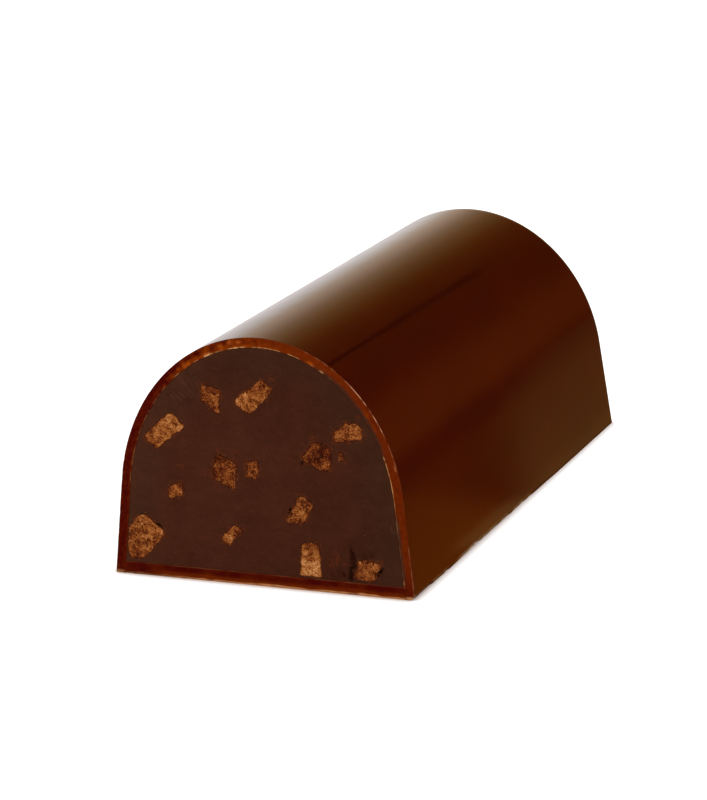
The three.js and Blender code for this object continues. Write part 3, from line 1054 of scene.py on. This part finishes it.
class NOUGAT_OT_truffle(bpy.types.Operator):
    """Make the truffle filling, with its cut face and the pockets of the biscuit pieces"""

    bl_idname = "nougat.truffle"
    bl_label = "Truffle Filling"

    CLEARANCE = 0.02 * MM
    STRAIGHT_ROWS = 92
    CROWN_ROWS = 160
    POCKET_DEPTH = 0.7 * MM
    HOLLOW_DEPTH = 0.55 * MM
    PIT_DEPTH = 0.06 * MM
    SCRATCH_DEPTH = 0.015 * MM
    SUNK_EDGE = 0.03 * MM
    KNIFE_HEADING = math.radians(62)

    def scratches(self, across, up):
        """Faint pale strokes: arcs that the knife drew in the upper left, and one curl low on the right."""
        upper_left = np.exp(-(((across + 15 * MM) / (4.5 * MM)) ** 2) - (((up - 29.5 * MM) / (4 * MM)) ** 2))
        swing = np.hypot(across + 23 * MM, up - 21 * MM) + 0.45 * MM * wander(across, up, 2.2 * MM, 51)
        strokes = ease(np.cos(swing * math.tau / (0.8 * MM)), 0.2, 1.0)
        gaps = wander(across, up, 1.4 * MM, 52) + 0.5 * wander(across, up, 0.5 * MM, 54)
        strokes = strokes * ease(gaps, -0.1, 0.8)
        radius = np.hypot(across - 22.3 * MM, 1.2 * (up - 11.4 * MM))
        radius = radius + 0.2 * MM * wander(across, up, 0.9 * MM, 53)
        curl = 1 - ease(np.abs(radius - 0.95 * MM), 0.04 * MM, 0.17 * MM)
        curl = curl * ease(12.0 * MM - up, 0, 0.9 * MM)
        return np.clip(0.22 * upper_left * strokes + 0.2 * curl, 0, 1)

    def hollows(self, across, up, jagged):
        """How deep in a hollow each point lies, from 0 to 1: it sinks the face and sets the hollow's painted
        shade.
        """
        hollow = np.zeros_like(across)
        for right, above, half_width, half_height, tilt, strength in HOLLOWS:
            c, s = math.cos(math.radians(tilt)), math.sin(math.radians(tilt))
            u, v = across / MM - right, up / MM - above
            u, v = (u * c + v * s) / half_width, (-u * s + v * c) / half_height
            hollow = np.maximum(hollow, strength * (1 - ease(np.hypot(u, v) + 0.9 * jagged, 0.3, 1.9)))
        return hollow

    def dust(self, across, up):
        """How much crumb dust the knife left in the patches beside the biscuit pieces."""
        specks = wander(across, up, 0.34 * MM, 48) + 0.4 * wander(across, up, 0.9 * MM, 49)
        specks = ease(specks, -0.25, 0.8)
        dust = np.zeros_like(across)
        for right, above, radius, strength in DUST:
            near = 1 - ease(np.hypot(across / MM - right, up / MM - above), 0.15 * radius, radius)
            dust = np.maximum(dust, strength * near * specks)
        return dust

    def relief(self, across, up):
        """How far the cut face lies behind its plane, with its dust, hollow and scratch marks."""
        turn = self.KNIFE_HEADING
        drawn = across * math.cos(turn) + up * math.sin(turn)
        square = -across * math.sin(turn) + up * math.cos(turn)
        depth = 0.03 * MM * (1 + wander(across, up, 5 * MM, 41))
        depth += 0.007 * MM * (1 + wander(drawn, square * 6, 2.4 * MM, 42))
        depth += 0.006 * MM * (1 + wander(across, up, 0.4 * MM, 43))
        pits = ease(wander(across, up, 0.5 * MM, 44) + 0.3 * wander(across, up, 3 * MM, 45), 0.85, 1.1)
        depth += self.PIT_DEPTH * pits
        scratch = self.scratches(across, up)
        depth += self.SCRATCH_DEPTH * scratch
        jagged = wander(across, up, 0.5 * MM, 46) + 0.6 * wander(across, up, 0.24 * MM, 47)
        hollow = self.hollows(across, up, jagged)
        depth += self.HOLLOW_DEPTH * hollow
        dust = self.dust(across, up)
        for name in BISCUITS:
            outline = Outline(name)
            inside = outline.inside_by(across, up, outline.ragged())
            depth += self.POCKET_DEPTH * ease(inside, 0, 0.14 * MM)
            depth += self.SUNK_EDGE * ease(inside, -0.2 * MM, -0.05 * MM)
            fringe = ease(inside, -0.6 * MM, 0) * ease(jagged + 0.7 * ease(inside, -0.3 * MM, 0), 0.1, 0.9)
            dust = np.maximum(dust, 0.75 * fringe)
        return depth, {"crumb_dust": np.clip(dust, 0, 1), "hollow": 0.75 * hollow, "scratch": scratch}

    def execute(self, context):
        inset = sizes().wall + self.CLEARANCE
        half, height = climb(inset, BASE_TOP + self.CLEARANCE, self.STRAIGHT_ROWS, self.CROWN_ROWS)
        # The top row keeps a little width, so the face doesn't shrink to one point.
        half[-1] = half[-2] * 0.25
        reach = np.linspace(-1, 1, sizes().face_columns)
        across = half[:, None] * reach[None, :]
        up = np.repeat(height[:, None], len(reach), axis=1)
        depth, marks = self.relief(across, up)
        edge_gap = ease(np.abs(reach), 0.995, 1.0)[None, :] * 0.02 * MM
        face = np.stack([across, CUT_FACE + depth + edge_gap, up], axis=-1)
        from_shell = np.minimum(half[:, None] - np.abs(across), height[-1] - up)
        marks["by_shell"] = 1 - ease(from_shell + 2 * MM * wander(across, up, 5 * MM, 50), 1 * MM, 9 * MM)

        rows, columns = across.shape
        at = np.arange(rows * columns).reshape(rows, columns)
        loop = np.concatenate([at[0, :-1], at[:-1, -1], at[-1, :0:-1], at[:0:-1, 0]])
        points = face.reshape(-1, 3)
        back = points[loop].copy()
        back[:, 1] = end_plane(back[:, 2], inset)
        faces = grid_faces(rows, columns).tolist()
        first = rows * columns
        for i in range(len(loop)):
            j = (i + 1) % len(loop)
            faces.append([loop[i], loop[j], first + j, first + i])
        none = np.zeros(len(loop))
        marks = {mark: np.concatenate([values.ravel(), none]) for mark, values in marks.items()}
        piece = finished("truffle", np.concatenate([points, back]), faces, [cut_truffle()], marks)
        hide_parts("truffle_filling")
        return {"FINISHED"}


# ---- Biscuit pieces --------------------------------------------------------------------------------


class NOUGAT_OT_biscuits(bpy.types.Operator):
    """Make the biscuit pieces that show in the cut face"""

    bl_idname = "nougat.biscuits"
    bl_label = "Biscuit Pieces"

    RINGS = 34
    PORE_DEPTH = 0.13 * MM
    # How far the front reaches over its pocket's edge, and how wide the back end is against the front.
    OVERLAP = 0.04 * MM
    BACK_SCALE = 0.72

    def porous_front(self, name, outline):
        """Rings of points from the middle out to the broken edge, with their marks."""
        reach = outline.ragged() + self.OVERLAP
        baked, heading, rise = BAKED[name]
        heading = math.radians(heading)
        seed = outline.seed * 7
        rings, marks = [], {"baked": [], "edge": [], "pore": []}
        for share in (np.arange(self.RINGS) + 0.6) / (self.RINGS - 0.4):
            right = outline.middle[0] + share * reach * np.cos(outline.turns)
            above = outline.middle[1] + share * reach * np.sin(outline.turns)
            bubbles = wander(right, above, 0.36 * MM, seed) + 0.7 * wander(right, above, 0.19 * MM, seed + 1)
            pore = ease(bubbles, 0.3, 1.1)
            edge = 1 - ease((1 - share) * reach, 0, 0.36 * MM)
            rough = self.PORE_DEPTH * pore + 0.02 * MM * (1 + wander(right, above, 0.25 * MM, seed + 2))
            depth = 0.02 * MM + rough * (1 - 0.7 * edge)
            rings.append(np.stack([right, CUT_FACE + depth, above], axis=1))
            from_middle = (right - outline.middle[0]) * math.cos(heading)
            from_middle = from_middle + (above - outline.middle[1]) * math.sin(heading)
            ring_baked = baked + rise * np.maximum(from_middle / outline.size, -0.4)
            smear = 0.7 + 0.8 * wander(right, above, 0.8 * MM, seed + 3)
            edge = np.maximum(edge, SMEARED.get(name, 0) * np.clip(smear, 0, 1))
            if name == ARCED:
                arcs = np.clip(0.5 - 0.6 * np.sin(outline.turns + 0.6), 0, 1)
                ring_baked = ring_baked - 0.6 * arcs * math.exp(-(((share - 0.74) / 0.15) ** 2))
                edge = np.maximum(edge, 0.6 - ease(share, 0.2, 0.7))
            marks["baked"].append(ring_baked)
            marks["edge"].append(edge)
            marks["pore"].append(pore)
        return rings, marks

    def chunk(self, name):
        """Points, faces and marks of one piece: its porous front, and a body that narrows into the bar."""
        outline = Outline(name)
        rings, marks = self.porous_front(name, outline)
        edge = rings[-1]
        middle = np.array([outline.middle[0], 0, outline.middle[1]])
        for share in (0.25, 0.6, 1.0):
            scale = 1 + (self.BACK_SCALE - 1) * share
            ring = middle + (edge - middle) * [scale, 1, scale]
            ring[:, 1] = CUT_FACE + 0.3 * MM + (outline.depth - 0.3 * MM) * share
            rings.append(ring)
            for values in marks.values():
                values.append(np.full(len(ring), 0.5))
        count = Outline.SPOKES
        faces = []
        for start in range(0, (len(rings) - 1) * count, count):
            for i in range(count):
                j = (i + 1) % count
                faces.append([start + i, start + j, start + count + j, start + count + i])
        return np.concatenate(rings), faces, {mark: np.concatenate(values) for mark, values in marks.items()}

    def execute(self, context):
        crumb = biscuit_crumb()
        for name in BISCUITS:
            points, faces, marks = self.chunk(name)
            piece = finished(name.replace("biscuit_", "biscuit_piece_"), points, faces, [crumb], marks)
            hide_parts(name)
        return {"FINISHED"}


# ---- Crumbs and flakes -----------------------------------------------------------------------------


# Length, width and height of a splinter against its length.
SPLINTER = np.array([1.0, 0.62, 0.5])


def shards(places, lengths, rng, flatness):
    """Small irregular six-pointed splinters at the given places, joined into one set of points and faces."""
    sides = [(0, 2, 4), (2, 1, 4), (1, 3, 4), (3, 0, 4), (2, 0, 5), (1, 2, 5), (3, 1, 5), (0, 3, 5)]
    points, faces = [], []
    for place, length in zip(places, lengths):
        half = length * SPLINTER * rng.uniform(0.7, 1.2, 3) / 2
        corners = np.zeros((6, 3))
        for axis in range(3):
            corners[2 * axis, axis] = half[axis]
            corners[2 * axis + 1, axis] = -half[axis]
        corners += rng.uniform(-0.18, 0.18, (6, 3)) * length
        turned = corners @ np.array(Matrix.Rotation(rng.uniform(0, math.tau), 3, rng.normal(size=3).tolist()))
        turned[:, 1] *= flatness
        faces += [[len(points) + corner for corner in side] for side in sides]
        points += (turned + place).tolist()
    points = np.array(points)
    # No splinter stands out past the cut face.
    points[:, 1] = np.maximum(points[:, 1], CUT_FACE + 0.005 * MM)
    return points, faces


class NOUGAT_OT_crumbs(bpy.types.Operator):
    """Scatter fine biscuit crumbs in the cut face and chocolate flakes along its edges"""

    bl_idname = "nougat.crumbs"
    bl_label = "Crumbs And Flakes"

    LOOSE_CRUMBS = 60
    FRINGE_CRUMBS = 9
    FLAKES = 46
    # Shortest and longest of each kind, in mm.
    LOOSE_LENGTHS = (0.1, 0.24)
    FRINGE_LENGTHS = (0.12, 0.34)
    DUST_LENGTHS = (0.12, 0.3)
    FLAKE_LENGTHS = (0.1, 0.26)

    def crumbs(self):
        """Loose crumbs all over the cut face, crumbs round the biscuit pieces, and the coarse dust."""
        rng = np.random.default_rng(71)
        places, lengths = [], []

        def add(across, depth, up, kind):
            places.append((across, CUT_FACE + depth, up))
            lengths.append(rng.uniform(*kind) * MM)

        half, height = climb(sizes().wall + 1 * MM, BASE_TOP + 1 * MM, 40, 80)
        while len(places) < self.LOOSE_CRUMBS:
            across, up = rng.uniform(-22, 22) * MM, rng.uniform(3, 37) * MM
            if abs(across) < np.interp(up, height, half):
                add(across, 0.05 * MM, up, self.LOOSE_LENGTHS)
        for name in BISCUITS:
            outline = Outline(name)
            for _ in range(self.FRINGE_CRUMBS):
                spoke = rng.integers(Outline.SPOKES)
                reach = outline.reach[spoke] + rng.uniform(-0.05, 0.5) * MM
                across = outline.middle[0] + reach * math.cos(outline.turns[spoke])
                up = outline.middle[1] + reach * math.sin(outline.turns[spoke])
                if up > BASE_TOP + 0.3 * MM and abs(across) < np.interp(up, height, half) + 0.5 * MM:
                    add(across, 0.06 * MM, up, self.FRINGE_LENGTHS)
        for right, above, radius, strength in DUST:
            for _ in range(round(9 * strength)):
                spread = rng.normal(0, 0.4 * radius, 2)
                add((right + spread[0]) * MM, 0.07 * MM, (above + spread[1]) * MM, self.DUST_LENGTHS)
        return shards(np.array(places), lengths, rng, 0.6)

    def flakes(self):
        """Chocolate splinters along both edges of the sawn rim, most of them near its top."""
        rng = np.random.default_rng(72)
        inner = arch(sizes().wall - 0.16 * MM)
        outer = arch(0.22 * MM)
        weight = ease(inner[1], 24 * MM, 38 * MM) + 0.12
        places, lengths = [], []
        for _ in range(self.FLAKES):
            line = inner if rng.random() < 0.7 else outer
            i = rng.choice(len(weight), p=weight / weight.sum())
            places.append((line[0][i], CUT_FACE + 0.03 * MM, line[1][i]))
            lengths.append(rng.uniform(*self.FLAKE_LENGTHS) * MM)
        return shards(np.array(places), lengths, rng, 0.4)

    def execute(self, context):
        points, faces = self.crumbs()
        crumb = bpy.data.materials["biscuit_crumb"]
        crumbs = finished("crumbs", points, faces, [crumb], {"baked": np.full(len(points), 0.85)})
        points, faces = self.flakes()
        pale = Finish("flake_chocolate", 0.3, 0.1)
        tone = colours().pale
        pale.finish(pale.mix(pale.noise(0.5 * MM, 2), scaled(tone, 0.4), scaled(tone, 1.0)))
        flakes = finished("flakes", points, faces, [pale.material])
        return {"FINISHED"}


# ---- The stage -------------------------------------------------------------------------------------


class NOUGAT_OT_stage(bpy.types.Operator):
    """Set the pale floor, the soft light and the camera"""

    bl_idname = "nougat.stage"
    bl_label = "Stage"

    # What the gloss picks up round the large soft light, from its middle outward: degrees off and colour.
    GLOW = (
        (0, (0.98, 0.91, 0.89)), (18, (0.98, 0.91, 0.89)), (21, (0.97, 0.9, 0.85)),
        (24, (0.91, 0.79, 0.67)), (26, (0.82, 0.66, 0.51)), (29, (0.78, 0.58, 0.41)),
        (31, (0.70, 0.52, 0.37)), (34, (0.57, 0.40, 0.245)), (36, (0.46, 0.31, 0.17)),
        (39, (0.40, 0.26, 0.105)), (41, (0.32, 0.18, 0.06)), (44, (0.243, 0.142, 0.036)),
        (46, (0.20, 0.09, 0.015)), (49, (0.13, 0.05, 0.004)), (53, (0.06, 0.022, 0.001)),
        (57, (0.03, 0.012, 0)), (61, (0.012, 0.006, 0)), (68, (0, 0, 0)),
    )
    # The soft light is wider than high: its sideways degrees count for this much.
    SQUEEZE = 0.9
    # A warm light low behind the right side, cut off at the table, with the same numbers as the next ones.
    LOW_GLOW = (32, 6, 20, 4, (0.17, 0.04, 0.001))
    # Dim soft lights for the other sides: heading, elevation, outer and inner edge in degrees, and colour.
    SIDE_LIGHTS = (
        (-150, 5, 75, 10, (0.16, 0.1, 0.05)), (120, 8, 60, 10, (0.1, 0.08, 0.05)),
        (180, 50, 30, 8, (0.35, 0.35, 0.35)), (-110, 40, 30, 8, (0.35, 0.35, 0.35)),
        (75, 55, 24, 6, (0.35, 0.35, 0.35)), (140, 42, 30, 8, (0.35, 0.35, 0.35)),
    )
    # Heights of a direction above the table between which the warm light is cut off.
    TABLE_CUT = (-0.05, 0.01)
    # What the floor glows with, from where the bar shades it fully to where it lies open.
    CONTACT_SHADE = (
        (0.5, (0.1, 0.03, 0)), (0.7, (0.27, 0.21, 0.17)), (0.85, (0.44, 0.42, 0.41)),
        (0.98, (0.55, 0.55, 0.55)),
    )

    def degrees_off(self, nodes, direction, azimuth, elevation, squeeze=1.0):
        """How many degrees a direction lies off a heading, with its sideways degrees squeezed."""
        turned = nodes.node("ShaderNodeMapping", vector_type="TEXTURE")
        nodes.put(direction, turned.inputs["Vector"])
        turned.inputs["Rotation"].default_value = (elevation, 0, -azimuth)
        turned.inputs["Scale"].default_value = (1 / squeeze, 1, 1)
        unit = nodes.node("ShaderNodeVectorMath", operation="NORMALIZE")
        nodes.put(turned.outputs[0], unit.inputs[0])
        return nodes.maths("DEGREES", nodes.maths("ARCCOSINE", nodes.part(unit.outputs[0], "Y")))

    def soft_lights(self, nodes):
        """The colour that the gloss picks up from each direction."""
        direction = nodes.node("ShaderNodeTexCoord").outputs["Generated"]
        widest = self.GLOW[-1][0]
        softbox = (studio().softbox_azimuth, studio().softbox_elevation, self.SQUEEZE)
        share = nodes.maths("DIVIDE", self.degrees_off(nodes, direction, *softbox), widest)
        glow = nodes.ramp(share, [(off / widest, colour) for off, colour in self.GLOW])
        above_table = nodes.between(nodes.part(direction, "Z"), *self.TABLE_CUT)
        for light in (self.LOW_GLOW, *self.SIDE_LIGHTS):
            azimuth, elevation, outer, inner, colour = light
            off = self.degrees_off(nodes, direction, math.radians(azimuth), math.radians(elevation))
            soft = nodes.between(off, outer, inner, interpolation_type="SMOOTHSTEP")
            if light is self.LOW_GLOW:
                soft = nodes.maths("MULTIPLY", soft, above_table)
            glow = nodes.mix(soft, glow, colour, blend_type="ADD")
        return glow

    def world(self, scene):
        """Soft lights for the gloss, even light for the matt surfaces and white behind it all."""
        world = bpy.data.worlds.new("studio")
        world.use_nodes = True
        world.node_tree.nodes.clear()
        nodes = Nodes(world.node_tree)

        def background(colour, strength):
            made = nodes.node("ShaderNodeBackground")
            nodes.put(colour, made.inputs["Color"])
            nodes.put(strength, made.inputs["Strength"])
            return made.outputs[0]

        def choose(share, first, second):
            made = nodes.node("ShaderNodeMixShader")
            for value, socket in zip((share, first, second), made.inputs):
                nodes.put(value, socket)
            return made.outputs[0]

        white = (1, 1, 1)
        ray = nodes.node("ShaderNodeLightPath").outputs
        gloss = background(self.soft_lights(nodes), 1.0)
        lit = choose(ray["Is Glossy Ray"], background(white, studio().fill), gloss)
        shown = choose(ray["Is Camera Ray"], lit, background(white, 1.0))
        nodes.put(shown, nodes.node("ShaderNodeOutputWorld").inputs["Surface"])
        # Only the rays that leave a surface sample the light, so the gloss sees the soft lights alone.
        world.cycles.sampling_method = "NONE"
        scene.world = world

    def floor(self):
        """A pale floor that glows evenly, and darkens in a thin line where the bar stands on it."""
        bpy.ops.mesh.primitive_plane_add(size=6, location=(0, 0, -0.05 * MM))
        floor = bpy.context.object
        floor.name = "floor"
        pale = Finish("pale_floor", 0.9, 0)
        contact = pale.node("ShaderNodeAmbientOcclusion", samples=8)
        contact.inputs["Distance"].default_value = 1.6 * MM
        pale.put(pale.ramp(contact.outputs["AO"], self.CONTACT_SHADE), pale.shader.inputs["Emission Color"])
        pale.put(1, pale.shader.inputs["Emission Strength"])
        pale.material.cycles.emission_sampling = "NONE"
        floor.data.materials.append(pale.finish((0.9, 0.9, 0.9)))
        floor.visible_glossy = False

    def table_tones(self, beside, away):
        """What the gloss picks up at points beside the bar's foot and away from the cut face, in mm."""
        near = 1 - ease(away, 38 + beside, 60 + beside)
        near = near * np.interp(beside, (0, 10, 19, 28, 50), (1, 0.8, 0.66, 0.35, 0))
        far = ease(away, 40 + 2.6 * beside, 70 + 2.6 * beside)
        far = far * np.interp(beside, (0, 2, 5, 14, 28, 60), (1.8, 1.6, 1.1, 0.92, 0.6, 0.55))
        foot = (1 - ease(beside, 2.5, 5.5)) * stretch(away, 24, 34, 50, 64)
        even = 1 - ease(beside, 26, 70)
        setup = studio()
        tones = (setup.table_near, setup.table_far, setup.table_foot, scaled(setup.table_near, 0.27))
        return sum(np.outer(share, tone) for share, tone in zip((near, far, foot, even), tones))

    def table_glow(self):
        """A card on the table beside the bar, with the glow that the right side's gloss picks up there."""
        beside = np.concatenate([np.linspace(0.2, 30, 31), np.linspace(34, 140, 24)])
        away = np.concatenate([np.linspace(-6, 160, 60), np.linspace(168, 450, 36)])
        u, v = (grid.ravel() for grid in np.meshgrid(beside, away, indexing="ij"))
        mesh = bpy.data.meshes.new("table_glow")
        points = np.stack([FOOT_HALF_WIDTH + u * MM, CUT_FACE + v * MM, np.full_like(u, 0.05 * MM)], axis=1)
        mesh.from_pydata(points.tolist(), [], grid_faces(len(beside), len(away)).tolist())
        glow = np.column_stack([self.table_tones(u, v), np.ones(len(u))]).astype(np.float32)
        mesh.attributes.new("glow", "FLOAT_COLOR", "POINT").data.foreach_set("color", glow.ravel())
        card = bpy.data.objects.new("table_glow", mesh)
        bpy.context.scene.collection.objects.link(card)
        material = bpy.data.materials.new("table_glow")
        material.use_nodes = True
        material.node_tree.nodes.clear()
        nodes = Nodes(material.node_tree)
        tone = nodes.node("ShaderNodeAttribute", attribute_name="glow").outputs["Color"]
        emission = nodes.node("ShaderNodeEmission")
        nodes.put(tone, emission.inputs["Color"])
        nodes.put(emission.outputs[0], nodes.node("ShaderNodeOutputMaterial").inputs["Surface"])
        material.cycles.emission_sampling = "NONE"
        mesh.materials.append(material)
        # Only the gloss sees the card.
        card.visible_camera = card.visible_diffuse = card.visible_shadow = False
        card.visible_transmission = card.visible_volume_scatter = False

    def camera(self, scene):
        """The camera at the photo's angle: turned by its yaw, tilted down by its pitch, then rolled."""
        setup = studio()
        data = bpy.data.cameras.new("camera")
        data.sensor_width = 36
        data.lens = setup.lens
        data.clip_start, data.clip_end = 0.01, 20
        camera = bpy.data.objects.new("camera", data)
        scene.collection.objects.link(camera)
        yaw, pitch, roll = setup.camera_yaw, setup.camera_pitch, setup.camera_roll
        ahead = Vector((-math.sin(yaw) * math.cos(pitch), math.cos(yaw) * math.cos(pitch), -math.sin(pitch)))
        level = Vector((math.cos(yaw), math.sin(yaw), 0))
        square = level.cross(ahead)
        right = math.cos(roll) * level + math.sin(roll) * square
        above = -math.sin(roll) * level + math.cos(roll) * square
        turned = Matrix((right, above, -ahead)).transposed().to_4x4()
        camera.matrix_world = Matrix.Translation(setup.camera_place) @ turned
        scene.camera = camera

    def execute(self, context):
        scene = context.scene
        scene.view_settings.view_transform = "Standard"
        self.camera(scene)
        self.world(scene)
        self.floor()
        self.table_glow()
        return {"FINISHED"}


# ---- Panel and registration ------------------------------------------------------------------------


class NOUGAT_PT_panel(bpy.types.Panel):
    """Sizes, colours and steps of the nougat bar"""

    bl_label = "Filled Nougat Bar"
    bl_space_type = "VIEW_3D"
    bl_region_type = "UI"
    bl_category = "Nougat"

    def draw(self, context):
        for title, group in (("Sizes", sizes()), ("Colours", colours()), ("Studio", studio())):
            box = self.layout.box()
            box.label(text=title)
            for name in group.__annotations__:
                box.prop(group, name)
        for step in STEPS:
            self.layout.operator(step.bl_idname)


STEPS = (
    NOUGAT_OT_stage,
    NOUGAT_OT_shell,
    NOUGAT_OT_base_layer,
    NOUGAT_OT_truffle,
    NOUGAT_OT_biscuits,
    NOUGAT_OT_crumbs,
)
GROUPS = {"nougat_sizes": BarSizes, "nougat_colours": BarColours, "nougat_studio": StudioSetup}


def register():
    for group in GROUPS.values():
        bpy.utils.register_class(group)
    for step in STEPS:
        bpy.utils.register_class(step)
    bpy.utils.register_class(NOUGAT_PT_panel)
    for name, group in GROUPS.items():
        setattr(bpy.types.Scene, name, PointerProperty(type=group))


def unregister():
    for name in GROUPS:
        delattr(bpy.types.Scene, name)
    bpy.utils.unregister_class(NOUGAT_PT_panel)
    for made in (*reversed(STEPS), *GROUPS.values()):
        bpy.utils.unregister_class(made)


def main():
    register()
    bpy.ops.nougat.stage()
    bpy.ops.nougat.shell()
    bpy.ops.nougat.base_layer()
    bpy.ops.nougat.truffle()
    bpy.ops.nougat.biscuits()
    bpy.ops.nougat.crumbs()


if __name__ == "__main__":
    main()
